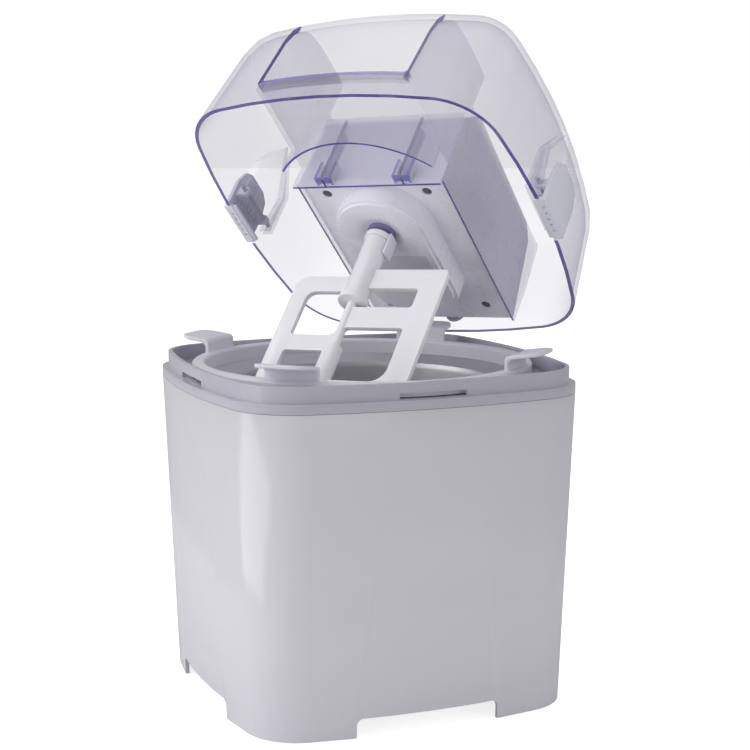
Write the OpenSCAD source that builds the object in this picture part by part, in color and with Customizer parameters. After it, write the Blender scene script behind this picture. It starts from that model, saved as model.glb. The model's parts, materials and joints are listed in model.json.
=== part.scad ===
// Ice cream maker: a square base with a lift-out freezer bowl and a clear
// domed lid that carries the motor, the gear train and the dasher.
// The lid stands off the base, propped on the rim with its dasher in the bowl.

/* [Base] */
// Width of the base across its bowed sides
body_w = 220; // [212:1:240]
// Radius of the base's upright corners
corner_r = 40; // [34:1:46]
// Radius of each bowed side
side_r = 404; // [330:2:900]
// Height of the ledge that the lid's rim sits on
ledge_z = 189; // [176:1:230]
// Inset of the foot of the base on each side, below the draft
foot_inset = 7.5; // [3:0.5:9]
// Thickness of the base's outer shell
shell_t = 2.4; // [1.8:0.1:3]
// Depth of the collar moulding below the ledge
collar_drop = 5.5; // [4:0.5:8]
// Height of the upright wall above the ledge
wall_h = 9.2; // [7:0.2:14]
// Thickness of the upright wall
wall_t = 2.6; // [2:0.1:3]
// Inset of the upright wall from the ledge's edge
wall_inset = 3.7; // [3.4:0.1:5]
// Length of each latch slot in the upright wall
slot_l = 40; // [37:1:60]
// Height of each latch slot
slot_h = 3.2; // [3:0.1:5]
// Height of the arches between the feet
arch_h = 11.5; // [6:0.5:13]
// Width of the arches between the feet
arch_w = 86; // [50:1:110]

/* [Bowl] */
// Inner radius of the bowl's plastic collar
mouth_r = 93.5; // [88:0.5:95]
// Width of the collar ring
ring_w = 8; // [6:0.5:9]
// Width of the metal step between the collar and the bowl's wall
bowl_step = 15.5; // [12:0.5:22]
// Taper of the bowl's wall, from its top to its floor
bowl_taper = 8; // [4:0.5:14]
// Depth of the bowl from the ledge to its floor
bowl_depth = 141; // [139:1:146]
// Thickness of the bowl's metal
metal_t = 1.4; // [1:0.1:2]
// Thickness of the coolant layer under the bowl's floor
coolant_t = 11; // [6:1:14]
// Width of each lifting tab
tab_w = 33; // [28:1:46]
// Reach of each lifting tab from the bowl's axis
tab_reach = 116; // [110:1:118]

/* [Lid] */
// Height of the dome above its rim
dome_h = 90; // [88:1:110]
// Thickness of the dome's clear wall
dome_t = 2.4; // [2:0.1:2.8]
// Half width of the feed mouth in the front of the dome
mouth_half = 50; // [40:1:52]
// Height of the feed mouth's lower lip above the rim
mouth_z = 18; // [16:1:24]
// Top edge of the feed mouth, in front of the drive shaft
mouth_top = 92; // [70:1:94]
// Radius of the half-moon outlet of the feed chute
outlet_r = 72; // [62:1:74]

/* [Motor] */
// Half width of the motor housing
motor_half = 49.5; // [44:0.5:50]
// Gap between the motor housing's rear end and the lid's rear side
rear_gap = 9.3; // [9:0.1:16]
// Height of the motor housing's top above the rim
motor_top = 70; // [64:1:74]
// Radius of the gear boss round the drive shaft
boss_r = 30; // [29:0.5:31]
// Depth of the gear boss below the rim
boss_drop = 11; // [10:0.5:14]
// Teeth on the drive wheel and on the large idler wheel
wheel_teeth = 40; // [36:2:42]
// Teeth on the motor pinion and on the small idler pinion
pinion_teeth = 12; // [12:2:14]
// Module of the gear teeth
gear_m = 1; // [0.9:0.01:1.02]
// Radius of the drive shaft
shaft_r = 4; // [3:0.1:5]

/* [Dasher] */
// Length of the dasher from the rim plane to its foot
dasher_l = 136; // [110:1:137]
// Clearance of the wide blade from the bowl's wall at its floor
blade_gap = 12.5; // [8:0.5:22]
// Clearance of the narrow blade from the bowl's wall at its floor
narrow_gap = 25.5; // [22:0.5:36]
// Thickness of the blades
blade_t = 3.2; // [2.5:0.1:5]

/* [Lid position] */
// Tilt of the propped lid from the closed position
lid_tilt = 44.3; // [43.8:0.1:45]
// Sideways lean of the propped lid
lid_lean = 2.3; // [1.8:0.1:2.8]
// Turn of the propped lid about the upright axis
lid_turn = 51.4; // [50:0.1:53]
// Propped rim centre, to the right of the bowl's axis
lid_x = 31; // [29:0.5:33]
// Propped rim centre, behind the bowl's axis
lid_y = 37; // [35:0.5:39]
// Gap between the propped rim's lowest edge and the upright wall
prop_gap = 1.32; // [1.3:0.1:8]

/* [Hidden] */

white = "#d9d8e2";
pale_grey = "#c9c8d2";
clear = [0.72, 0.72, 0.95, 0.35];
metal = "#b4b4b8";
steel = "#8d8f94";

gap = 0.2;            // between pieces of one assembly
run = 0.06;           // radial clearance of a running fit
slack = 0.3;          // between pieces that move past each other
eps = 0.01;
big = 400;
side_n = 6;           // steps along each bowed side
corner_n = 10;        // steps round each corner

seam_z = ledge_z - collar_drop;
wall_z = ledge_z + wall_h;
bowl_r = mouth_r - bowl_step;
bowl_floor_r = bowl_r - bowl_taper;
foot_lift = 0.5;      // the shell stands this far above the rest face
plate_z = 12;
plate_t = 2.4;

liner_r = mouth_r + 1.2;
liner_t = 2.2;
liner_top = seam_z - 0.4;
bowl_floor_z = ledge_z - bowl_depth;
outer_floor_z = bowl_floor_z - metal_t - coolant_t - metal_t;
liner_floor_z = outer_floor_z - slack;
bowl_skin_r = mouth_r - 0.8;

pad_r = 7;
pad_pos = 80;
screw_x = 58;
screw_y = 88;

// Lid, in its own frame: rim plane at z = 0, front at -Y
rim_half = body_w / 2 - 0.5;
dome_draft = 0.1;
shoulder_z = dome_h * 0.66;
shoulder_w = 20;
crown_h = 2.4;
mouth_back = -mouth_top;
chute_y = -33;
chute_t = 2;
ramp_z = mouth_z - 0.5;
motor_y0 = chute_y + gap;
motor_wall = 2.2;
cover_z = 8;
cover_t = 2.5;
gear_pitch = gear_m * (wheel_teeth + pinion_teeth) / 2;
boss_wall = 2.5;
boss_l = 2 * gear_pitch + 20;
drive_hole_r = 9;
cover_screw_x = 35;
motor_l = rim_half - rear_gap - motor_y0;
cover_screw_y = [motor_y0 + 11.8, motor_y0 + motor_l - 13.2];
gear_plate_t = 2;
can_r = 21;
can_h = 38;

// Gear levels, in the lid's frame
low_gear_z = -3.4;
gear_w = 4;
high_gear_z = low_gear_z + gear_w + 0.8;
pressure = 25;
thin = 0.14;          // taken off each tooth for backlash

// Latches, in the lid's frame, for the right-hand side
latch_half = 17.5;
latch_z = 36;
latch_t = 2.5;
pin_r = 1.4;
pin_z = 16;
pocket_half = latch_half + 0.8;
pocket_t = 1.4;
pocket_z0 = wall_h + 1.2;
pocket_z1 = latch_z + 3;
scoop_z = 68;
pocket_x = rim_half - 10.5;
rim_half_inset = body_w / 2 - rim_half;
lid_up = wall_h + prop_gap + rim_half * sin(lid_tilt);
gland_r = 5;
gland_z = cover_z + 10;
gear_plate_top = cover_z + gear_plate_t;
pin_x = rim_half - 6;

// Switch, in the lid's frame
switch_y = 24;
switch_l = 22;
switch_w = 14;
switch_wall = 1.6;
dome_top = dome_h + crown_h;
rocker_z = dome_top - 1.5;
rocker_tilt = 6;

// Dasher, in the lid's frame: heights below the rim plane
hub_r = 8;
hub_top = 13;
hub_foot = 62;
rod_r = 2.9;
sleeve_r = 6;
sleeve_top = 99;
wide_top = 39.5;
wide_bar = 15.5;
plank_z = 68.6;
narrow_top = 45;
narrow_bar = 11;
wide_reach = bowl_floor_r - blade_gap;
narrow_reach = bowl_floor_r - narrow_gap;
rung_z = 90;
foot_bar = 13;
foot_r = 12;

// One corner of the bowed square: centre of its arc, and where the arc starts
function arc_centre(a, r, s) =
    let (d = s - a) (-d + sqrt(2 * pow(s - r, 2) - d * d)) / 2;
function turned(p, q) =
    [p.x * cos(q) - p.y * sin(q), p.x * sin(q) + p.y * cos(q)];
function bowed_square(a, r, s) =
    let (d = s - a, c = arc_centre(a, r, s), f = atan2(c, c + d))
    [for (q = [0:3], i = [0:side_n + corner_n - 1])
        let (t = i < side_n ? -f + 2 * f * i / side_n
                            : f + (90 - 2 * f) * (i - side_n) / corner_n)
        turned(i < side_n ? [s * cos(t) - d, s * sin(t)]
                          : [c + r * cos(t), c + r * sin(t)], 90 * q)];

module plan(inset) {
    polygon(bowed_square(body_w / 2 - inset, corner_r - inset, side_r - inset));
}

module slab(inset, z, h) {
    translate([0, 0, z]) linear_extrude(h) plan(inset);
}

// Tapered block of the base: inset at the foot, full size at the seam
module base_block(inset, z0, z1) {
    hull() {
        slab(inset + foot_inset * (1 - z0 / seam_z), z0, eps);
        slab(inset + foot_inset * (1 - z1 / seam_z), z1 - eps, eps);
    }
}

module place_lid() {
    translate([lid_x, lid_y, ledge_z + lid_up])
        rotate([-lid_tilt, -lid_lean, -lid_turn]) children();
}

module tube(r_out, r_in, z0, z1) {
    translate([0, 0, z0]) difference() {
        cylinder(r = r_out, h = z1 - z0, $fn = 96);
        translate([0, 0, -1]) cylinder(r = r_in, h = z1 - z0 + 2, $fn = 96);
    }
}

module rod(r, z0, z1) {
    translate([0, 0, z0]) cylinder(r = r, h = z1 - z0, $fn = 64);
}

module four_corners(x, y) {
    for (sx = [-1, 1], sy = [-1, 1]) translate([sx * x, sy * y, 0]) children();
}

module block(x0, x1, y0, y1, z0, z1) {
    translate([x0, y0, z0]) cube([x1 - x0, y1 - y0, z1 - z0]);
}

/* ---- base ---- */

module arch(across) {
    r = 4;
    rotate([0, 0, across]) {
        block(-arch_w / 2, arch_w / 2, -big / 2, big / 2, -1, arch_h - r);
        block(-arch_w / 2 + r, arch_w / 2 - r, -big / 2, big / 2, -1, arch_h);
        for (s = [-1, 1]) translate([s * (arch_w / 2 - r), big / 2, arch_h - r])
            rotate([90, 0, 0]) cylinder(r = r, h = big, $fn = 32);
    }
}

module outer_shell() {
    boss_top = plate_z + plate_t + 30;
    color(white) {
        difference() {
            base_block(0, foot_lift, seam_z);
            base_block(shell_t, -1, seam_z + 1);
            arch(0);
            arch(90);
        }
        for (sx = [-1, 1], sy = [-1, 1]) difference() {
            union() {
                translate([sx * screw_x, sy * screw_y, plate_z + plate_t + gap])
                    cylinder(r = 4, h = 30, $fn = 48);
                intersection() {
                    block(sx * screw_x - 1, sx * screw_x + 1,
                          sy > 0 ? screw_y : -big / 2, sy > 0 ? big / 2 : -screw_y,
                          plate_z + plate_t + gap, boss_top);
                    base_block(shell_t - 0.6, 1, seam_z);
                }
            }
            translate([sx * screw_x, sy * screw_y, plate_z])
                cylinder(r = 1.5 + gap, h = 24, $fn = 32);
        }
    }
}

module top_collar() {
    slot_z = ledge_z + 0.2;
    hole_r = mouth_r + 3.6;
    color(pale_grey) difference() {
        union() {
            slab(0, seam_z + gap, collar_drop - gap);
            slab(wall_inset, ledge_z - eps, wall_h + eps);
        }
        slab(wall_inset + wall_t, ledge_z, wall_h + 1);
        translate([0, 0, seam_z - 1]) cylinder(r = hole_r, h = collar_drop + 2, $fn = 96);
        for (q = [0:3]) rotate([0, 0, 90 * q])
            block(body_w / 2 - wall_inset - wall_t - 2, body_w / 2 - wall_inset + 1,
                  -slot_l / 2, slot_l / 2, slot_z, slot_z + slot_h);
    }
}

module well_liner() {
    color(pale_grey) difference() {
        union() {
            rod(liner_r + liner_t, liner_floor_z - liner_t, liner_top);
            tube(liner_r + liner_t + 3.5, liner_r, liner_top - 2, liner_top);
        }
        rod(liner_r, liner_floor_z, liner_top + 1);
    }
}

module bottom_plate() {
    color(white) difference() {
        slab(foot_inset + shell_t + gap, plate_z, plate_t);
        four_corners(screw_x, screw_y)
            translate([0, 0, plate_z - 1]) cylinder(r = 1.5 + gap, h = 5, $fn = 32);
        four_corners(pad_pos, pad_pos)
            translate([0, 0, plate_z - 1]) cylinder(r = 3 + gap, h = 5, $fn = 32);
        for (i = [-3:3]) block(-30, 30, i * 10 - 1.5, i * 10 + 1.5, plate_z - 1, plate_z + 4);
    }
}

module foot_pads() {
    color("#55565c") four_corners(pad_pos, pad_pos) {
        rod(pad_r, 0, plate_z - gap);
        rod(3, plate_z - 1, plate_z + plate_t);
    }
}

module base_screws() {
    color(steel) four_corners(screw_x, screw_y) {
        rod(3, plate_z - 2.2, plate_z - 0.1);
        rod(1.5, plate_z - 1, plate_z + 20);
    }
}

/* ---- freezer bowl ---- */

module tab_plan() {
    r = 9;
    half = tab_w / 2;
    for (q = [0:3]) rotate([0, 0, 45 + 90 * q]) {
        translate([mouth_r - 4, -half]) square([tab_reach - r - mouth_r + 4, tab_w]);
        translate([mouth_r - 4, -half + r]) square([tab_reach - mouth_r + 4, tab_w - 2 * r]);
        for (s = [-1, 1]) translate([tab_reach - r, s * (half - r)]) circle(r = r, $fn = 48);
    }
}

module bowl_collar() {
    ring_r = mouth_r + ring_w;
    spigot_r = mouth_r + 2.4;
    seat_z = ledge_z + slack;
    rim_z = wall_z - 0.8;
    t = 2.2;
    foot_r = mouth_r + 3;
    lip_z = rim_z + 8.5;
    color(pale_grey) {
        rotate_extrude($fn = 120) polygon([
            [mouth_r, seam_z], [spigot_r, seam_z], [spigot_r, seat_z], [ring_r, seat_z],
            [ring_r, rim_z - 1.5], [ring_r - 1.5, rim_z], [mouth_r + 1.2, rim_z],
            [mouth_r, rim_z - 1.2]
        ]);
        intersection() {
            rotate_extrude($fn = 120) polygon([
                [foot_r, seat_z + 2], [foot_r + t, seat_z + 2], [foot_r + t, lip_z - t - 2],
                [foot_r + t + 2, lip_z - t], [tab_reach, lip_z], [tab_reach, lip_z + t],
                [foot_r + 1.5, lip_z - 0.2], [foot_r, lip_z - 2]
            ]);
            translate([0, 0, seat_z]) linear_extrude(40) tab_plan();
        }
    }
}

module bowl_inner() {
    rim_r = mouth_r - gap;
    z = ledge_z;
    f = bowl_floor_z;
    t = metal_t;
    foot = 9;
    color(metal) rotate_extrude($fn = 120) polygon([
        [rim_r, z - 2 * t], [rim_r, z - 0.4], [rim_r - 3, z], [rim_r - 4.5, z - 1.2],
        [bowl_r + 2, z - 4.5], [bowl_r, z - 8], [bowl_floor_r, f + foot],
        [bowl_floor_r - foot / 3, f + foot / 3], [bowl_floor_r - foot, f], [0, f],
        [0, f - t], [bowl_floor_r - foot + 0.5, f - t], [bowl_floor_r - foot / 3 + 1, f + foot / 3 - 1],
        [bowl_floor_r + t, f + foot - 0.5], [bowl_r + t, z - 8 - 0.5],
        [bowl_r + 3, z - 4.5 - t], [rim_r - 4.5, z - 1.2 - t]
    ]);
}

module bowl_outer() {
    t = metal_t;
    top = seam_z - gap;
    color(metal) rotate_extrude($fn = 120) polygon([
        [0, outer_floor_z], [bowl_skin_r - 6, outer_floor_z], [bowl_skin_r, outer_floor_z + 6],
        [bowl_skin_r, top], [bowl_r + 6, top], [bowl_r + 6, top - t], [bowl_skin_r - t, top - t],
        [bowl_skin_r - t, outer_floor_z + 6 + 0.6], [bowl_skin_r - 6.6, outer_floor_z + t],
        [0, outer_floor_z + t]
    ]);
}

module coolant() {
    t = metal_t;
    f = bowl_floor_z;
    color("#7fa6c9") rotate_extrude($fn = 120) polygon([
        [0, outer_floor_z + t + gap], [bowl_skin_r - 7, outer_floor_z + t + gap],
        [bowl_skin_r - t - gap, outer_floor_z + 7], [bowl_skin_r - t - gap, seam_z - 12],
        [bowl_r + t + gap + 0.4, seam_z - 12], [bowl_floor_r + t + gap + 0.4, f + 9],
        [bowl_floor_r - 4, f - t - gap], [0, f - t - gap]
    ]);
}

/* ---- clear lid ---- */

// Inset of the dome's outside at height z
function dome_inset(z) =
    let (u = max(0, z - shoulder_z) / (dome_h - shoulder_z))
    dome_draft * z + shoulder_w * (1 - sqrt(max(0, 1 - u * u)));

module dome_block(t, z0) {
    top = dome_h - t;
    levels = [z0, 0, shoulder_z, for (k = [0.4, 0.65, 0.82, 0.94, 1])
        shoulder_z + k * (top - shoulder_z)];
    hull() {
        for (z = levels)
            slab(rim_half_inset + t + dome_inset(max(z, 0) * dome_h / top), z - (z > 0 ? eps : 0), eps);
        slab(body_w * 0.29, top + crown_h - eps, eps);
    }
}

module latch_pocket(t) {
    hull() {
        block(pocket_x - t, rim_half, -pocket_half - t, pocket_half + t,
              pocket_z0 - t, pocket_z1 + t);
        translate([rim_half - dome_inset(scoop_z) - 1, 0, scoop_z + 2 * t])
            cube([2, 1 + 2 * t, 1], center = true);
    }
}

module both_sides() {
    children();
    rotate([0, 0, 180]) children();
}

module lid_dome() {
    color(clear) place_lid() difference() {
        union() {
            difference() {
                dome_block(0, 0);
                dome_block(dome_t, -1);
            }
            both_sides() intersection() {
                latch_pocket(pocket_t);
                dome_block(0, 0);
            }
        }
        both_sides() latch_pocket(0);
        both_sides() block(rim_half - 4, rim_half + 4, -pocket_half, pocket_half, -1, 3.2);
        both_sides() block(rim_half - dome_t - 2, rim_half + 4, -pocket_half, pocket_half,
                           pocket_z0, pocket_z1);
        both_sides() translate([pin_x, pocket_half + pocket_t + 1, pin_z]) rotate([90, 0, 0])
            cylinder(r = pin_r + 0.02, h = 2 * (pocket_half + pocket_t + 1), $fn = 48);
        block(-mouth_half, mouth_half, -big, mouth_back, mouth_z, big);
        block(-switch_w / 2 - gap, switch_w / 2 + gap, switch_y - switch_l / 2 - gap,
              switch_y + switch_l / 2 + gap, motor_top, big);
        translate([0, big, gland_z]) rotate([90, 0, 0])
            cylinder(r = gland_r + gap, h = big, $fn = 64);
    }
}

module feed_chute() {
    x = motor_half + gap;
    t = chute_t;
    color(clear) place_lid() intersection() {
        union() {
            difference() {
                block(-x - t, x + t, -big / 2, chute_y, ramp_z - t, ramp_z);
                translate([0, 0, -1]) cylinder(r = outlet_r, h = big, $fn = 128);
            }
            intersection() {
                tube(outlet_r, outlet_r - t, -1, ramp_z);
                block(-x - t, x + t, -big / 2, chute_y, -1, ramp_z);
            }
            block(-x - t, x + t, chute_y - t, chute_y, -1, ramp_z + 40);
            for (s = [-1, 1]) {
                block(min(s * x, s * (x + t)), max(s * x, s * (x + t)),
                      -big / 2, chute_y, ramp_z - t, big);
                block(min(s * x, s * (x + t)), max(s * x, s * (x + t)),
                      chute_y - t, motor_y0 + motor_l, cover_z - 5, motor_top - 6);
                block(s * motor_half * 0.55 - 1, s * motor_half * 0.55 + 1,
                      chute_y - 8, chute_y, -1, ramp_z + 22);
            }
        }
        dome_block(dome_t + gap, -2);
    }
}

/* ---- motor unit ---- */

module side_prism(half, t) {
    l = motor_l;
    h = motor_top - cover_z;
    low = t > 0 ? -1 : 0;
    translate([-half, motor_y0, cover_z]) rotate([90, 0, 90]) linear_extrude(2 * half)
        polygon([
            [t, low], [t, h - 16], [14, h - t], [l - 24, h - 3 - t],
            [l - 14 - t, h - 11], [l - t, low]
        ]);
}

module cover_screw_places() {
    for (sx = [-1, 1], y = cover_screw_y) translate([sx * cover_screw_x, y, 0]) children();
}

module motor_housing() {
    color(pale_grey) place_lid() difference() {
        union() {
            difference() {
                side_prism(motor_half, 0);
                side_prism(motor_half - motor_wall, motor_wall);
            }
            intersection() {
                cover_screw_places() rod(4, gear_plate_top, big);
                side_prism(motor_half - 1, 1);
            }
        }
        cover_screw_places() translate([0, 0, cover_z - 1])
            cylinder(r = 1.6, h = 16, $fn = 32);
        block(-switch_w / 2 - gap, switch_w / 2 + gap, switch_y - switch_l / 2 - gap,
              switch_y + switch_l / 2 + gap, motor_top - 12, big);
        translate([0, motor_y0 + motor_l + 8, gland_z]) rotate([90, 0, 0])
            cylinder(r = gland_r + gap, h = 30, $fn = 64);
    }
}

module boss_plan(inset) {
    r = boss_r - inset;
    corner = 15;
    l = boss_l - inset;
    circle(r = r, $fn = 120);
    translate([-r, 0]) square([2 * r, l - corner]);
    translate([-r + corner, 0]) square([2 * (r - corner), l]);
    for (s = [-1, 1]) translate([s * (r - corner), l - corner]) circle(r = corner, $fn = 64);
}

module motor_cover() {
    top = cover_z - gap;
    bottom = cover_z - cover_t;
    lip = 2;
    color(pale_grey) place_lid() difference() {
        union() {
            block(-motor_half, motor_half, motor_y0, motor_y0 + motor_l, bottom, top);
            translate([0, 0, -boss_drop + lip]) linear_extrude(bottom + boss_drop - lip)
                boss_plan(0);
            translate([0, 0, -boss_drop]) linear_extrude(lip + eps) boss_plan(lip);
        }
        translate([0, 0, -boss_drop + boss_wall + 4]) linear_extrude(big)
            boss_plan(boss_wall);
        difference() {
            translate([0, 0, -boss_drop + boss_wall]) linear_extrude(4 + eps)
                boss_plan(boss_wall + 1);
            translate([0, 0, -big / 2]) cylinder(r = 18, h = big, $fn = 96);
        }
        translate([0, 0, -boss_drop - eps])
            cylinder(r1 = 16, r2 = 10.5, h = 3, $fn = 96);
        translate([0, 0, -boss_drop - 1])
            cylinder(r = drive_hole_r, h = 20, $fn = 96);
        translate([0, 0, -boss_drop + boss_wall + 4]) cylinder(r = 22, h = big, $fn = 96);
        cover_screw_places() translate([0, 0, bottom - 1])
            cylinder(r = 1.6, h = 5, $fn = 32);
        cover_screw_places() translate([0, 0, bottom - 1])
            cylinder(r = 3.2, h = 2.4, $fn = 48);
    }
}

module cover_screws() {
    bottom = cover_z - cover_t;
    color("#6a6b72") place_lid() cover_screw_places() {
        rod(2.8, bottom + 0.5, bottom + 1.4);
        rod(1.3, bottom + 1, bottom + 14);
    }
}

module blank_label() {
    z = -boss_drop - gap;
    color("#d4d4da") place_lid() block(-24, 24, 19, 44, z, z + gap);
}

module gear_plate() {
    w = motor_half - motor_wall - gap;
    color(metal) place_lid() difference() {
        block(-w, w, motor_y0 + motor_wall + gap, motor_y0 + motor_l - motor_wall - 3,
              cover_z, gear_plate_top);
        translate([0, 0, cover_z - 1]) cylinder(r = shaft_r + run, h = 5, $fn = 64);
        translate([0, gear_pitch, cover_z - 1]) cylinder(r = 2, h = 5, $fn = 64);
        translate([0, 2 * gear_pitch, cover_z - 1]) cylinder(r = 4, h = 5, $fn = 64);
        cover_screw_places() translate([0, 0, cover_z - 1])
            cylinder(r = 1.6, h = 5, $fn = 32);
        for (s = [-1, 1]) translate([s * can_r * 0.7, 2 * gear_pitch, cover_z - 1])
            cylinder(r = 1.4, h = 5, $fn = 32);
    }
}

module plate_screws() {
    color(steel) place_lid() for (s = [-1, 1])
        translate([s * can_r * 0.7, 2 * gear_pitch, 0]) {
            rod(2.4, cover_z - 1.2, cover_z - 0.1);
            rod(1.3, cover_z - 0.6, gear_plate_top + 5);
        }
}

module motor_can() {
    z = gear_plate_top + 0.1;
    color(steel) place_lid() translate([0, 2 * gear_pitch, 0]) difference() {
        union() {
            rod(can_r, z, z + can_h - 4);
            rod(can_r - 3, z + can_h - 5, z + can_h);
        }
        rod(1.6, z - 1, z + 20);
        for (s = [-1, 1]) translate([s * can_r * 0.7, 0, z - 1])
            cylinder(r = 1.4, h = 8, $fn = 32);
    }
}

// Involute of the base circle, as an angle in degrees
function inv(a) = tan(a) * 180 / PI - a;

function tooth_half(n, r) =
    let (rp = gear_m * n / 2, rb = rp * cos(pressure))
    90 / n - thin / 2 / rp * 180 / PI + inv(pressure) - inv(acos(min(1, rb / r)));

function gear_points(n) =
    let (rp = gear_m * n / 2, rb = rp * cos(pressure), ra = rp + 0.8 * gear_m,
         rf = rp - 1.15 * gear_m, r0 = max(rb, rf),
         radii = [for (k = [0:4]) r0 + (ra - r0) * k / 4])
    [for (i = [0:n - 1], k = [-6:6], up = [k < 0 ? -1 : 1]) if (k != 0)
        let (j = k < 0 ? -k - 1 : 0, q = k < 0 ? 5 - j : k - 1,
             r = k == -6 || k == 6 ? rf : radii[k < 0 ? k + 5 : 5 - k],
             a = tooth_half(n, max(r, r0)))
        [r * cos(360 * i / n + up * a), r * sin(360 * i / n + up * a)]];

module gear(n, z, h, phase) {
    translate([0, 0, z]) rotate([0, 0, phase]) linear_extrude(h) polygon(gear_points(n));
}

module idler_pin() {
    color(steel) place_lid() translate([0, gear_pitch, 0])
        rod(2 - 0.01, low_gear_z - 1, gear_plate_top);
}

module shaft_bush() {
    color("#b9a26a") place_lid()
        tube(drive_hole_r - 0.05, shaft_r + run, -boss_drop + 0.6, low_gear_z - 0.6);
}

module motor_pinion() {
    color("#efe6c8") place_lid() translate([0, 2 * gear_pitch, 0]) {
        difference() {
            gear(pinion_teeth, high_gear_z, gear_w, 180 / pinion_teeth);
            rod(1.2, -big, big);
        }
        rod(1.2, high_gear_z - 0.6, gear_plate_top + 16);
    }
}

module idler_gear() {
    color("#efe6c8") place_lid() translate([0, gear_pitch, 0]) difference() {
        union() {
            gear(pinion_teeth, low_gear_z - 0.2, gear_w + 1.1, 180 / pinion_teeth);
            gear(wheel_teeth, high_gear_z, gear_w, 0);
        }
        rod(2 + run, -big, big);
    }
}

module drive_wheel() {
    color("#efe6c8") place_lid() difference() {
        gear(wheel_teeth, low_gear_z, gear_w, 0);
        rod(shaft_r + 0.01, -big, big);
    }
}

module drive_shaft() {
    foot = -46;
    color(steel) place_lid() difference() {
        rod(shaft_r, foot, gear_plate_top - 0.3);
        block(shaft_r * 0.7, big, -big / 2, big / 2, foot - 1, -16);
    }
}

module cord_gland() {
    y = motor_y0 + motor_l;
    color("#b9b9c2") place_lid() translate([0, 0, gland_z]) rotate([-90, 0, 0]) difference() {
        union() {
            rod(gland_r, y - 5, rim_half + 3);
            rod(gland_r + 2, rim_half + 0.4, rim_half + 3);
        }
        rod(3, y - 6, rim_half + 4);
    }
}

module switch_bezel() {
    w = switch_w / 2;
    l = switch_l / 2;
    t = switch_wall;
    color(pale_grey) place_lid() translate([0, switch_y, 0]) difference() {
        union() {
            block(-w, w, -l, l, motor_top - 10, dome_top + 1.6);
            block(-w - 2.5, w + 2.5, -l - 2.5, l + 2.5, dome_top + 0.1, dome_top + 1.6);
        }
        block(-w + t, w - t, -l + t, l - t, motor_top - 9, big);
        translate([0, 0, rocker_z]) rotate([0, 90, 0])
            cylinder(r = 1.5, h = 2 * w - 1.2, center = true, $fn = 48);
    }
}

module switch_rocker() {
    w = switch_w / 2 - switch_wall - slack;
    l = switch_l / 2 - switch_wall - 1.2;
    color("#8b8c96") place_lid() translate([0, switch_y, rocker_z]) rotate([rocker_tilt, 0, 0]) {
        rotate([90, 0, 90]) translate([0, 0, -w]) linear_extrude(2 * w)
            polygon([[-l, -3], [l, -3], [l, 5.2], [0, 3.4], [-l, 5.2]]);
        rotate([0, 90, 0]) cylinder(r = 1.4, h = 2 * w + 2, center = true, $fn = 48);
    }
}

/* ---- latches ---- */

module latch() {
    x = rim_half + 0.5;
    lug = 3;
    color("#b3b4be") difference() {
        union() {
            intersection() {
                block(x, x + latch_t, -latch_half, latch_half, 0.3, latch_z);
                translate([x - 1, 0, 0]) rotate([90, 0, 90]) linear_extrude(10) polygon([
                    [-latch_half, 0], [latch_half, 0], [latch_half, latch_z - 13],
                    [latch_half - 4, latch_z - 3], [latch_half - 9, latch_z],
                    [-latch_half + 9, latch_z], [-latch_half + 3, latch_z - 4],
                    [-latch_half, latch_z - 14]
                ]);
            }
            block(rim_half - dome_t - 0.4, x + latch_t, -latch_half, latch_half, 0.3, 2.5);
            block(rim_half - dome_t - 3, rim_half - dome_t, -latch_half + 1, latch_half - 1,
                  0.7, 2.5);
            for (s = [-1, 1]) {
                y = s * (latch_half - lug - 1);
                block(pin_x, x + 1, y - lug / 2, y + lug / 2, pin_z - 3, pin_z + 3);
                translate([pin_x, y + lug / 2, pin_z]) rotate([90, 0, 0])
                    cylinder(r = 3, h = lug, $fn = 48);
            }
        }
        translate([pin_x, big / 2, pin_z]) rotate([90, 0, 0])
            cylinder(r = pin_r + run, h = big, $fn = 48);
        for (i = [-2:2]) translate([rim_half - 0.2, i * 5, -1])
            cylinder(r = 0.8, h = 8, $fn = 24);
    }
}

module latch_right() {
    place_lid() latch();
}

module latch_left() {
    place_lid() rotate([0, 0, 180]) latch();
}

module latch_pins() {
    l = pocket_half + pocket_t;
    color(steel) place_lid() both_sides() translate([pin_x, l, pin_z]) rotate([90, 0, 0])
        cylinder(r = pin_r, h = 2 * l, $fn = 48);
}

/* ---- dasher ---- */

// The sliver left outside an arc of radius r in the corner at (x, z)
module corner_sliver(x, z, r, sx, sz) {
    difference() {
        translate([sx > 0 ? x - r : x, sz > 0 ? z - r : z]) square(r);
        translate([x - sx * r, z - sz * r]) circle(r = r, $fn = 64);
    }
}

// A window between x0 and x1, from depth z0 to z1, with rounded corners
module window(x0, x1, z0, z1, r, r_low) {
    difference() {
        translate([x0, -z1]) square([x1 - x0, z1 - z0]);
        corner_sliver(x0, -z0, r, -1, 1);
        corner_sliver(x1, -z0, r, 1, 1);
        corner_sliver(x0, -z1, x1 > 0 ? r : r_low, -1, -1);
        corner_sliver(x1, -z1, x1 > 0 ? r_low : r, 1, -1);
    }
}

module blade_plan() {
    w = wide_reach;
    n = narrow_reach;
    l = dasher_l;
    in = 2;
    difference() {
        union() {
            translate([0, -l]) square([w, l - wide_top]);
            translate([-n, -l]) square([n, l - narrow_top]);
        }
        window(in, w - wide_bar, wide_top + 14.5, plank_z, 2.5, 2.5);
        window(in, w - wide_bar, plank_z + 15.4, l - foot_bar, 2.5, 10);
        window(-n + narrow_bar, -in, narrow_top + 11.7, rung_z, 6, 2.5);
        window(-n + narrow_bar, -in, rung_z + 11.6, l - foot_bar, 2.5, 6);
        corner_sliver(w, -wide_top, 3, 1, 1);
        corner_sliver(w, -l, foot_r, 1, -1);
        corner_sliver(-n, -narrow_top, 9, -1, 1);
        corner_sliver(-n, -l, foot_r, -1, -1);
    }
}

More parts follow.
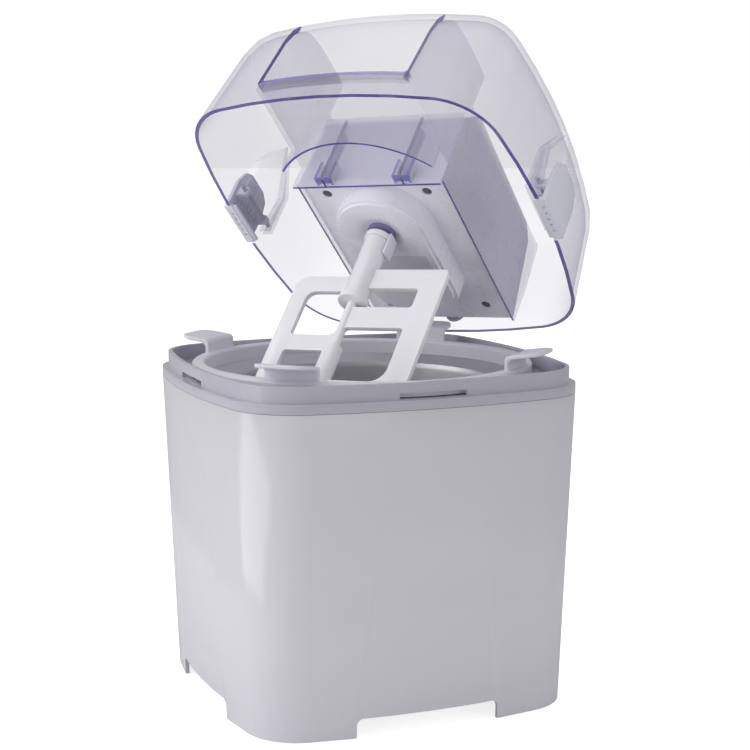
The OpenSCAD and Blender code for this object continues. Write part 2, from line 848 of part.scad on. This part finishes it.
module dasher() {
    l = dasher_l;
    color("white") place_lid() difference() {
        union() {
            rod(hub_r, -hub_foot, -hub_top - 4);
            rod(hub_r - 1.5, -hub_top - 5, -hub_top - 2);
            rod(hub_r + 1, -hub_top - 3.5, -hub_top);
            rod(hub_r + 1.2, -hub_foot - 3, -hub_foot + 1);
            rod(rod_r, -sleeve_top - 1, -hub_foot - 2);
            rod(sleeve_r, -l, -sleeve_top);
            translate([0, blade_t / 2, 0]) rotate([90, 0, 0]) linear_extrude(blade_t)
                blade_plan();
        }
        difference() {
            translate([0, 0, -46.5]) cylinder(r = shaft_r + run, h = 40, $fn = 64);
            block(shaft_r * 0.7 + run, big, -big / 2, big / 2, -47, -16);
        }
    }
}

module dasher_tab() {
    color("#c4c5cc") place_lid() block(hub_r + 1.1, hub_r + 2.6, -4.5, 4.5, -28, -hub_top);
}

outer_shell();
top_collar();
well_liner();
bottom_plate();
foot_pads();
base_screws();
bowl_collar();
bowl_inner();
bowl_outer();
coolant();
lid_dome();
feed_chute();
motor_housing();
motor_cover();
cover_screws();
blank_label();
gear_plate();
plate_screws();
motor_can();
idler_pin();
shaft_bush();
cord_gland();
switch_bezel();
switch_rocker();
latch_left();
latch_right();
latch_pins();
motor_pinion();
idler_gear();
drive_wheel();
drive_shaft();
dasher();
dasher_tab();
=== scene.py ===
"""Ice cream maker: the moulded base with its freezer bowl, and the clear lid with
the motor, the chute and the dasher, lifted off and propped on the rim."""

import json
import math

import bpy
from mathutils import Matrix, Vector

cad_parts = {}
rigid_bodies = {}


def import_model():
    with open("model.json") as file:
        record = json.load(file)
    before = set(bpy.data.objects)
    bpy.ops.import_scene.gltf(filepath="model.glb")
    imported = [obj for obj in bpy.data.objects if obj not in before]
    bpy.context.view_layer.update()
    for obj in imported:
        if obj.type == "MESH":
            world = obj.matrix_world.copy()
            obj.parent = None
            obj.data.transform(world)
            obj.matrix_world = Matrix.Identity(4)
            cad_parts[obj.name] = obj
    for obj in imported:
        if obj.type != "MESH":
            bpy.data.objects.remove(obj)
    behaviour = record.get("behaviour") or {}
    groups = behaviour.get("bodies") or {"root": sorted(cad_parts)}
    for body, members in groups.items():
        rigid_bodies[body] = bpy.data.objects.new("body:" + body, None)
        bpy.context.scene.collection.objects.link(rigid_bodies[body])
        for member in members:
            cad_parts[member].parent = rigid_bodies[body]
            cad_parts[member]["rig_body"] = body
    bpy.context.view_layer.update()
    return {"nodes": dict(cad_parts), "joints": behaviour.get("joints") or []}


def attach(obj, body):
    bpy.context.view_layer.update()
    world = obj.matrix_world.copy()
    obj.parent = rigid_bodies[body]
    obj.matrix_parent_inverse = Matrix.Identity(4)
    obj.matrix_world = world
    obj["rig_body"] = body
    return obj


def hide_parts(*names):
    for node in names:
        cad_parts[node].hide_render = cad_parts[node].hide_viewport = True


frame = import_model()
nodes = frame["nodes"]
MM = 0.001

# ---------------------------------------------------------------- the lid's own frame

joints = {joint["name"]: joint for joint in frame["joints"]}
LID_RIGHT = Vector(joints["switch_rock"]["axis"]).normalized()
LID_BACK = Vector(joints["latch_left_flip"]["axis"]).normalized()
LID_UP = Vector(joints["dasher_spin"]["axis"]).normalized()
LID_ORIGIN = Vector(joints["dasher_spin"]["pos_m"])
LID = Matrix.Translation(LID_ORIGIN) @ Matrix(
    (LID_RIGHT, LID_BACK, LID_UP)).transposed().to_4x4()
LID_INVERSE = LID.inverted()


# ---------------------------------------------------------------- shader maths

class Value:
    """A socket that carries a number, with Python's operators on it."""

    def __init__(self, sheet, socket):
        self.sheet = sheet
        self.socket = socket

    def maths(self, operation, other, swap=False):
        pair = (other, self) if swap else (self, other)
        return self.sheet.node("ShaderNodeMath", {"operation": operation}, pair)

    def __add__(self, other):
        return self.maths("ADD", other)

    def __radd__(self, other):
        return self.maths("ADD", other, True)

    def __sub__(self, other):
        return self.maths("SUBTRACT", other)

    def __mul__(self, other):
        return self.maths("MULTIPLY", other)

    def __pow__(self, other):
        return self.maths("POWER", other)


class Sheet:
    """One material, with the node tree that is being drawn on it."""

    def __init__(self, name, **constants):
        self.material = bpy.data.materials.new(name)
        self.material.use_nodes = True
        self.tree = self.material.node_tree
        self.shader = self.tree.nodes["Principled BSDF"]
        for socket, value in constants.items():
            self.shader.inputs[socket.replace("_", " ")].default_value = value

    def node(self, kind, settings=None, values=(), output=0):
        made = self.tree.nodes.new(kind)
        for key, value in (settings or {}).items():
            if key == "stops":
                ramp = made.color_ramp
                for stop, (place, colour) in zip(ramp.elements, value):
                    stop.position = place
                    stop.color = colour
            else:
                setattr(made, key, value)
        items = values.items() if isinstance(values, dict) else enumerate(values)
        for key, value in items:
            self.feed(made.inputs[key], value)
        return Value(self, made.outputs[output])

    def feed(self, socket, value):
        if isinstance(value, Value):
            self.tree.links.new(value.socket, socket)
        else:
            socket.default_value = value

    def put(self, name, value):
        self.feed(self.shader.inputs[name], value)

    def place(self, centre=(0, 0, 0), scale=(1, 1, 1)):
        here = self.node("ShaderNodeTexCoord", output=3)
        return self.node("ShaderNodeMapping", {"vector_type": "TEXTURE"},
                         {"Vector": here, "Location": centre, "Scale": scale})

    def noise(self, vector, scale, detail=3.0, rough=0.5):
        return self.node("ShaderNodeTexNoise", {},
                         {"Vector": vector, "Scale": scale, "Detail": detail, "Roughness": rough})

    def ramp(self, fac, low, high, place=(0.3, 0.7)):
        return self.node("ShaderNodeValToRGB",
                         {"stops": [(place[0], low), (place[1], high)]}, {"Fac": fac})

    def bump(self, height, strength, distance):
        return self.node("ShaderNodeBump", {},
                         {"Height": height, "Strength": strength, "Distance": distance})


def tint(red, green, blue):
    return (red, green, blue, 1.0)


def moulded(name, colour, roughness, orange_peel=0.03, coat=0.0, variation=0.03, grain=0.0):
    """Injection-moulded plastic: a slow waviness, faint wear and an optional spark finish."""
    sheet = Sheet(name, Specular_IOR_Level=0.5, IOR=1.49, Coat_Roughness=0.08)
    here = sheet.place()
    slow = sheet.noise(here, 14.0, 2.0)
    fine = sheet.noise(here, 160.0, 4.0)
    smudge = sheet.noise(here, 42.0, 5.0, 0.6)
    low = tuple(c * (1 - variation) for c in colour[:3]) + (1.0,)
    high = tuple(min(1.0, c * (1 + variation)) for c in colour[:3]) + (1.0,)
    sheet.put("Base Color", sheet.ramp(slow * 0.7 + smudge * 0.3, low, high))
    sheet.put("Roughness", roughness + (smudge - 0.5) * 0.10 + (fine - 0.5) * 0.04)
    sheet.put("Coat Weight", coat)
    height = slow * 0.8 + sheet.noise(here, 900.0, 2.0) * grain
    sheet.put("Normal", sheet.bump(height, orange_peel, 0.002))
    return sheet.material


def clear_plastic(name, face, edge, clear_alpha, grazing_alpha):
    """Clear styrene: nearly invisible face on, and denser where it is seen along its skin."""
    sheet = Sheet(name, Specular_IOR_Level=0.6, IOR=1.55, Coat_Roughness=0.03)
    here = sheet.place()
    facing = sheet.node("ShaderNodeLayerWeight", {}, {"Blend": 0.32}, output=1)
    flow = sheet.noise(here, 22.0, 3.0)
    haze = sheet.noise(here, 120.0, 4.0)
    density = facing ** 1.6
    colour = sheet.node("ShaderNodeMix", {"data_type": "RGBA"},
                        {"Factor": density, "A": face, "B": edge}, output=2)
    sheet.put("Base Color", colour)
    sheet.put("Roughness", 0.05 + (haze - 0.5) * 0.03)
    sheet.put("Alpha", clear_alpha + density * (grazing_alpha - clear_alpha) + (flow - 0.5) * 0.03)
    sheet.put("Normal", sheet.bump(flow, 0.05, 0.002))
    sheet.material.use_transparent_shadow = True
    return sheet.material


def turned_metal(name, colour, roughness, centre, ring=1400.0):
    """Spun aluminium: fine rings about the bowl's axis, with a dull anodised skin."""
    sheet = Sheet(name, Metallic=1.0)
    here = sheet.place(centre)
    split = sheet.tree.nodes.new("ShaderNodeSeparateXYZ")
    sheet.feed(split.inputs[0], here)
    across = Value(sheet, split.outputs[0])
    along = Value(sheet, split.outputs[1])
    up = Value(sheet, split.outputs[2])
    radius = (across * across + along * along) ** 0.5
    rings = sheet.node("ShaderNodeTexNoise", {"noise_dimensions": "1D"},
                       {"W": radius + up, "Scale": ring, "Detail": 3.0})
    cloud = sheet.noise(here, 26.0, 4.0)
    low = tuple(c * 0.88 for c in colour[:3]) + (1.0,)
    high = tuple(min(1.0, c * 1.08) for c in colour[:3]) + (1.0,)
    sheet.put("Base Color", sheet.ramp(cloud * 0.6 + rings * 0.4, low, high))
    sheet.put("Roughness", roughness + (cloud - 0.5) * 0.16)
    sheet.put("Normal", sheet.bump(rings, 0.12, 0.0006))
    return sheet.material


def plated_steel(name, colour, roughness):
    sheet = Sheet(name, Metallic=1.0)
    here = sheet.place(scale=(1, 1, 0.08))
    brush = sheet.noise(here, 500.0, 3.0)
    cloud = sheet.noise(sheet.place(), 70.0, 3.0)
    low = tuple(c * 0.8 for c in colour[:3]) + (1.0,)
    sheet.put("Base Color", sheet.ramp(cloud, low, colour))
    sheet.put("Roughness", roughness + (brush - 0.5) * 0.2)
    sheet.put("Normal", sheet.bump(brush, 0.08, 0.0005))
    return sheet.material


SHELL = moulded("gloss white shell", tint(0.73, 0.715, 0.76), 0.22, 0.010, 0.3, 0.012)
# The shell's gloss white, darkened for the collar: painted shade.
COLLAR_PAINTED_SHADE = moulded("gloss white collar with painted shade", tint(0.50, 0.49, 0.56), 0.22, 0.02, 0.3)
LINER = moulded("satin white liner", tint(0.60, 0.60, 0.65), 0.38, 0.05)
UNDERSIDE = moulded("matt white underside", tint(0.62, 0.61, 0.64), 0.5, 0.08, grain=0.5)
TABS = moulded("satin grey rim", tint(0.78, 0.77, 0.84), 0.3, 0.04, grain=0.2)
LATCH = moulded("satin grey latch", tint(0.80, 0.80, 0.90), 0.32, 0.03, grain=0.2)
HOUSING = moulded("satin grey housing", tint(0.93, 0.91, 0.99), 0.28, 0.015,
                  variation=0.012, grain=0.1)
LABEL = moulded("blank film label", tint(0.80, 0.80, 0.86), 0.22, 0.01, variation=0.01)
ROCKER = moulded("gloss grey rocker", tint(0.25, 0.25, 0.29), 0.2, 0.02)
DASHER = moulded("gloss white dasher", tint(0.95, 0.94, 0.97), 0.2, 0.02, 0.3, 0.01)
GEAR = moulded("cream acetal", tint(0.80, 0.76, 0.62), 0.35, 0.03)
BUSH = moulded("violet shaft bush", tint(0.24, 0.23, 0.42), 0.3, 0.03)
GLAND = moulded("grey cord gland", tint(0.42, 0.42, 0.46), 0.55, 0.1, grain=0.4)
RUBBER = moulded("dark rubber pad", tint(0.05, 0.05, 0.055), 0.8, 0.2, grain=1.0)
SCREW = moulded("blackened screw", tint(0.10, 0.10, 0.12), 0.35, 0.05)
COOLANT = moulded("blue coolant", tint(0.30, 0.48, 0.68), 0.3, 0.02)
BOWL_METAL = turned_metal("anodised bowl", tint(0.66, 0.655, 0.68), 0.48, (0, 0, 0))
STEEL = plated_steel("plated steel", tint(0.62, 0.62, 0.64), 0.3)
CLEAR = clear_plastic("clear lid", tint(0.62, 0.60, 0.72), tint(0.50, 0.48, 0.76), 0.13, 0.56)
EDGE = clear_plastic("violet lid edge",
                     tint(0.075, 0.055, 0.33), tint(0.055, 0.038, 0.28), 0.90, 0.98)
PALE_EDGE = clear_plastic("pale violet edge",
                          tint(0.24, 0.22, 0.62), tint(0.16, 0.13, 0.50), 0.6, 0.9)
# Clear chute wall with painted light: a pale, denser skin that stands for the lit motor housing
# seen through it.
PAINTED_LIGHT_WALL = clear_plastic("clear wall with painted light",
                        tint(0.86, 0.85, 0.97), tint(0.66, 0.64, 0.88), 0.42, 0.8)

SIDE_BOW = 404 * MM
MOUTH_HALF = 50
MOUTH_LIP_Z = 17.6
CHUTE_BACK_Y = -34
CHUTE_HOOK_X = 27
LATCH_RIB_Y = (-10, -6, -2, 2, 6, 10)


# ---------------------------------------------------------------- modelling helpers

def nothing_selected():
    if bpy.context.object and bpy.context.object.mode != "OBJECT":
        bpy.ops.object.mode_set(mode="OBJECT")
    bpy.ops.object.select_all(action="DESELECT")


def work_on(piece):
    nothing_selected()
    piece.select_set(True)
    bpy.context.view_layer.objects.active = piece


def smooth(piece, degrees=32):
    work_on(piece)
    bpy.ops.object.shade_smooth_by_angle(angle=math.radians(degrees))


def rounded(piece, width, segments=3, degrees=32):
    """Rounds every hard edge of a piece, as a moulding's edges are."""
    work_on(piece)
    edge = piece.modifiers.new("rounded edges", "BEVEL")
    edge.width = width
    edge.segments = segments
    edge.limit_method = "ANGLE"
    edge.angle_limit = math.radians(degrees)
    edge.use_clamp_overlap = True
    bpy.ops.object.modifier_apply(modifier=edge.name)


def even_normals(piece):
    """Lets the large faces set the shading, so that a turned wall shows no streaks."""
    work_on(piece)
    weights = piece.modifiers.new("even normals", "WEIGHTED_NORMAL")
    weights.keep_sharp = True
    weights.weight = 100
    bpy.ops.object.modifier_apply(modifier=weights.name)


def merged_copy(node, name):
    """A copy of a CAD node's mesh, welded into one clean skin."""
    piece = nodes[node].copy()
    piece.data = nodes[node].data.copy()
    piece.name = name
    piece.data.name = name
    piece.parent = None
    for key in list(piece.keys()):
        del piece[key]
    bpy.context.scene.collection.objects.link(piece)
    work_on(piece)
    bpy.ops.object.mode_set(mode="EDIT")
    bpy.ops.mesh.select_all(action="SELECT")
    bpy.ops.mesh.remove_doubles(threshold=0.000004)
    bpy.ops.mesh.dissolve_limited(angle_limit=math.radians(0.6))
    bpy.ops.object.mode_set(mode="OBJECT")
    return piece


def dress(piece, material):
    piece.data.materials.clear()
    piece.data.materials.append(material)


def finished(node, material, edge=0.0005, segments=2, degrees=32):
    """Replaces a CAD node by a copy of itself with rounded edges and a smooth skin."""
    piece = merged_copy(node, node + "_moulding")
    dress(piece, material)
    if edge:
        rounded(piece, edge, segments, degrees)
    smooth(piece, degrees)
    stand_for(piece, node)
    return piece


def stand_for(piece, *cad_nodes):
    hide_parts(*cad_nodes)
    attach(piece, nodes[cad_nodes[0]]["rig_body"])


def paint_faces(piece, material, wanted):
    """Gives a second material to the faces that wanted() picks by centre and normal."""
    piece.data.materials.append(material)
    index = len(piece.data.materials) - 1
    for face in piece.data.polygons:
        if wanted(face.center, face.normal):
            face.material_index = index


def on_lid(point):
    return LID_INVERSE @ point


def lid_direction(normal):
    return LID_INVERSE.to_3x3() @ normal


# ---------------------------------------------------------------- base

def base():
    finished("outer_shell", SHELL, 0.9 * MM, 3, 40)
    # The top collar takes the darkened white: painted shade.
    finished("top_collar", COLLAR_PAINTED_SHADE, 0.5 * MM, 3, 40)
    finished("well_liner", LINER, 0.3 * MM)
    finished("bottom_plate", UNDERSIDE, 0.3 * MM)
    finished("foot_pads", RUBBER, 0.8 * MM)
    finished("base_screws", STEEL, 0.2 * MM)


# ---------------------------------------------------------------- bowl

def bowl():
    finished("bowl_collar", TABS, 0.6 * MM, 3, 30)
    even_normals(finished("bowl_inner", BOWL_METAL, 0.3 * MM, 2, 30))
    finished("bowl_outer", BOWL_METAL, 0.3 * MM)
    nodes["coolant"].data.materials.clear()
    nodes["coolant"].data.materials.append(COOLANT)


# ---------------------------------------------------------------- lid

def lid():
    dome = merged_copy("lid_dome", "clear_dome")
    dress(dome, CLEAR)
    smooth(dome, 24)

    def on_cut_edge(centre, normal):
        here = on_lid(centre)
        way = lid_direction(normal)
        rim = abs(here.z) < 0.4 * MM and way.z < -0.9
        on_side = abs(abs(here.x) - MOUTH_HALF * MM) < 0.6 * MM and here.y < -60 * MM
        return rim or (on_side and abs(way.x) > 0.9)

    paint_faces(dome, EDGE, on_cut_edge)
    stand_for(dome, "lid_dome")
    chute = merged_copy("feed_chute", "clear_chute")
    dress(chute, CLEAR)
    rounded(chute, 0.3 * MM, 1, 40)
    smooth(chute, 30)

    def on_thin_edge(centre, normal):
        here = on_lid(centre)
        way = lid_direction(normal)
        return way.z < -0.9 and here.z < 6 * MM

    paint_faces(chute, EDGE, on_thin_edge)

    def on_back_wall(centre, normal):
        here = on_lid(centre)
        upright = abs(lid_direction(normal).y) > 0.95
        return upright and abs(here.y - CHUTE_BACK_Y * MM) < 1.6 * MM

    # The chute's back wall gets the painted-light skin.
    paint_faces(chute, PAINTED_LIGHT_WALL, on_back_wall)
    stand_for(chute, "feed_chute")
    finished("motor_housing", HOUSING, 0.8 * MM, 3)
    finished("motor_cover", HOUSING, 1.0 * MM, 3)
    finished("blank_label", LABEL, 0)
    finished("cover_screws", SCREW, 0.2 * MM)
    finished("gear_plate", STEEL, 0.2 * MM)
    finished("plate_screws", STEEL, 0.2 * MM)
    finished("motor_can", STEEL, 0.6 * MM)
    finished("idler_pin", STEEL, 0.2 * MM)
    finished("shaft_bush", BUSH, 0.3 * MM)
    finished("cord_gland", GLAND, 0.4 * MM)
    finished("switch_bezel", TABS, 0.4 * MM)
    finished("latch_pins", STEEL, 0.2 * MM)
    finished("switch_rocker", ROCKER, 0.3 * MM)
    finished("latch_left", LATCH, 0.35 * MM)
    finished("latch_right", LATCH, 0.35 * MM)


def rounded_bar(name, low, high, radius, material, cuts=1):
    """A bar in the lid's frame, from its low corner to its high one, with rounded edges."""
    nothing_selected()
    bpy.ops.mesh.primitive_cube_add(size=1, location=(0, 0, 0))
    bar = bpy.context.object
    bar.name = name
    low = Vector(low) * MM
    high = Vector(high) * MM
    bar.scale = high - low
    bar.location = (low + high) / 2
    bpy.ops.object.transform_apply(location=True, rotation=True, scale=True)
    if cuts > 1:
        bpy.ops.object.mode_set(mode="EDIT")
        bpy.ops.mesh.select_all(action="SELECT")
        bpy.ops.mesh.subdivide(number_cuts=cuts)
        bpy.ops.object.mode_set(mode="OBJECT")
    dress(bar, material)
    rounded(bar, radius * MM, 3, 60)
    return bar


def bow_front(piece):
    """Bends a bar along the bowed front of the lid."""
    for point in piece.data.vertices:
        point.co.y += SIDE_BOW - math.sqrt(SIDE_BOW ** 2 - point.co.x ** 2)


def set_on_lid(piece, name, body="lid"):
    piece.data.transform(LID)
    piece.name = name
    piece.data.name = name
    smooth(piece, 40)
    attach(piece, body)


def mouth_lip():
    """The double bead along the lower edge of the feed mouth."""
    tall = 1.7
    for number, (y, z, deep) in enumerate(((-107.3, MOUTH_LIP_Z, 6.5), (-105.2, 21.0, 4.4))):
        bar = rounded_bar("lip", (-MOUTH_HALF, y, z), (MOUTH_HALF, y + deep, z + tall),
                          0.7, CLEAR, 12)
        bow_front(bar)
        paint_faces(bar, PALE_EDGE, lambda centre, normal: normal.y < -0.6 or abs(normal.x) > 0.7)
        set_on_lid(bar, "mouth_lip_%d" % number)
    for side in (-1, 1):
        x = side * (MOUTH_HALF - 1)
        bar = rounded_bar("lip", (x - 1, -103.5, MOUTH_LIP_Z), (x + 1, -99.5, 22.7),
                          0.6, PALE_EDGE)
        set_on_lid(bar, "mouth_lip_end_%s" % ("left" if side < 0 else "right"))


def chute_clips():
    """Hooks at the foot of the chute's back wall that hold the motor unit's front edge."""
    for side in (-1, 1):
        word = "left" if side < 0 else "right"
        for number, x in enumerate((side * (CHUTE_HOOK_X - 5), side * (CHUTE_HOOK_X + 5))):
            hook = rounded_bar("hook", (x - 0.9, -42, -1), (x + 0.9, -35.4, 13), 0.4, CLEAR)
            paint_faces(hook, PALE_EDGE, lambda centre, normal: normal.z < -0.7 or normal.y < -0.7)
            set_on_lid(hook, "chute_hook_%s_%d" % (word, number))
        x = side * CHUTE_HOOK_X
        bar = rounded_bar("hook bar", (x - 5.2, -41, -1), (x + 5.2, -37, 1), 0.5, PALE_EDGE)
        set_on_lid(bar, "chute_hook_%s_bar" % word)
        rail = rounded_bar("rail", (x - 6.2, -36.6, 6), (x - 4.6, -35.3, 54), 0.4, CLEAR)
        paint_faces(rail, PALE_EDGE, lambda centre, normal: abs(normal.x) > 0.7)
        set_on_lid(rail, "chute_rail_%s" % word)


def latch_ribs():
    """Stiffening ribs on the inner face of each latch pad."""
    for side, word in ((1, "right"), (-1, "left")):
        for number, y in enumerate(LATCH_RIB_Y):
            rib = rounded_bar("rib", (108.7, y - 0.5, 13), (110.3, y + 0.5, 32), 0.3, LATCH)
            if side < 0:
                rib.data.transform(Matrix.Rotation(math.pi, 4, "Z"))
            set_on_lid(rib, "latch_rib_%s_%d" % (word, number), word + "_latch")


# ---------------------------------------------------------------- drive

def drive():
    finished("motor_pinion", GEAR, 0)
    finished("idler_gear", GEAR, 0)
    finished("drive_wheel", GEAR, 0)
    finished("drive_shaft", STEEL, 0.3 * MM)
    finished("dasher", DASHER, 0.7 * MM, 3)
    finished("dasher_tab", LATCH, 0.4 * MM)


# ---------------------------------------------------------------- studio

def area_light(name, place, target, size, power, shines=True):
    lamp = bpy.data.lights.new(name, "AREA")
    lamp.shape = "RECTANGLE"
    lamp.size = size[0]
    lamp.size_y = size[1]
    lamp.energy = power
    made = bpy.data.objects.new(name, lamp)
    made.location = place
    made.visible_glossy = shines
    made.rotation_euler = (Vector(target) - Vector(place)).to_track_quat("-Z", "Y").to_euler()
    bpy.context.scene.collection.objects.link(made)


def studio():
    world = bpy.data.worlds.new("pale studio")
    world.use_nodes = True
    tree = world.node_tree
    sky = tree.nodes["Background"]
    sky.inputs["Color"].default_value = (0.97, 0.97, 1.0, 1.0)
    sky.inputs["Strength"].default_value = 0.42
    seen = tree.nodes.new("ShaderNodeBackground")
    seen.inputs["Color"].default_value = (1, 1, 1, 1)
    seen.inputs["Strength"].default_value = 1.0
    path = tree.nodes.new("ShaderNodeLightPath")
    mix = tree.nodes.new("ShaderNodeMixShader")
    tree.links.new(path.outputs["Is Camera Ray"], mix.inputs[0])
    tree.links.new(sky.outputs[0], mix.inputs[1])
    tree.links.new(seen.outputs[0], mix.inputs[2])
    tree.links.new(mix.outputs[0], tree.nodes["World Output"].inputs[0])
    bpy.context.scene.world = world
    bpy.context.scene.view_settings.view_transform = "Standard"

    nothing_selected()
    bpy.ops.mesh.primitive_circle_add(vertices=96, radius=14, fill_type="NGON", location=(0, 0, 0))
    floor = bpy.context.object
    floor.name = "studio_floor"
    paper = Sheet("white paper", Base_Color=(0.8, 0.8, 0.81, 1), Roughness=0.9)
    weave = paper.noise(paper.place(), 60.0, 3.0)
    paper.put("Roughness", 0.85 + (weave - 0.5) * 0.1)
    glow = paper.tree.nodes.new("ShaderNodeEmission")
    glow.inputs["Strength"].default_value = 0.8
    sum_of_both = paper.tree.nodes.new("ShaderNodeAddShader")
    choice = paper.tree.nodes.new("ShaderNodeMixShader")
    ray = paper.tree.nodes.new("ShaderNodeLightPath")
    paper.tree.links.new(paper.shader.outputs[0], sum_of_both.inputs[0])
    paper.tree.links.new(glow.outputs[0], sum_of_both.inputs[1])
    paper.tree.links.new(ray.outputs["Is Camera Ray"], choice.inputs[0])
    paper.tree.links.new(paper.shader.outputs[0], choice.inputs[1])
    paper.tree.links.new(sum_of_both.outputs[0], choice.inputs[2])
    paper.tree.links.new(choice.outputs[0], paper.tree.nodes["Material Output"].inputs[0])
    dress(floor, paper.material)

    area_light("left window", (-1.5, 0.35, 0.95), (0, 0, 0.15), (1.6, 1.5), 13)
    area_light("front fill", (0.9, -2.1, 0.9), (0, 0, 0.15), (1.2, 0.8), 4.4, False)
    area_light("low bounce", (-1.2, -0.6, 0.14), (0.03, 0.04, 0.3), (0.7, 0.2), 2.4, False)
    area_light("right fill", (1.5, -1.0, 0.35), (0.05, 0, 0.12), (0.8, 0.5), 2.4, False)
    area_light("top sheet", (0.1, 0.2, 2.0), (0, 0, 0.2), (1.6, 1.6), 6)


def camera():
    lens = bpy.data.cameras.new("camera")
    lens.lens = 80.15
    lens.sensor_width = 36
    lens.clip_start = 0.05
    eye = bpy.data.objects.new("camera", lens)
    eye.location = (-0.3657, -0.9214, 0.3325)
    eye.rotation_euler = (math.pi / 2 - 0.14555, 0, -0.38574)
    bpy.context.scene.collection.objects.link(eye)
    bpy.context.scene.camera = eye


camera()
base()
bowl()
lid()
mouth_lip()
chute_clips()
latch_ribs()
drive()
studio()

bpy.context.view_layer.update()
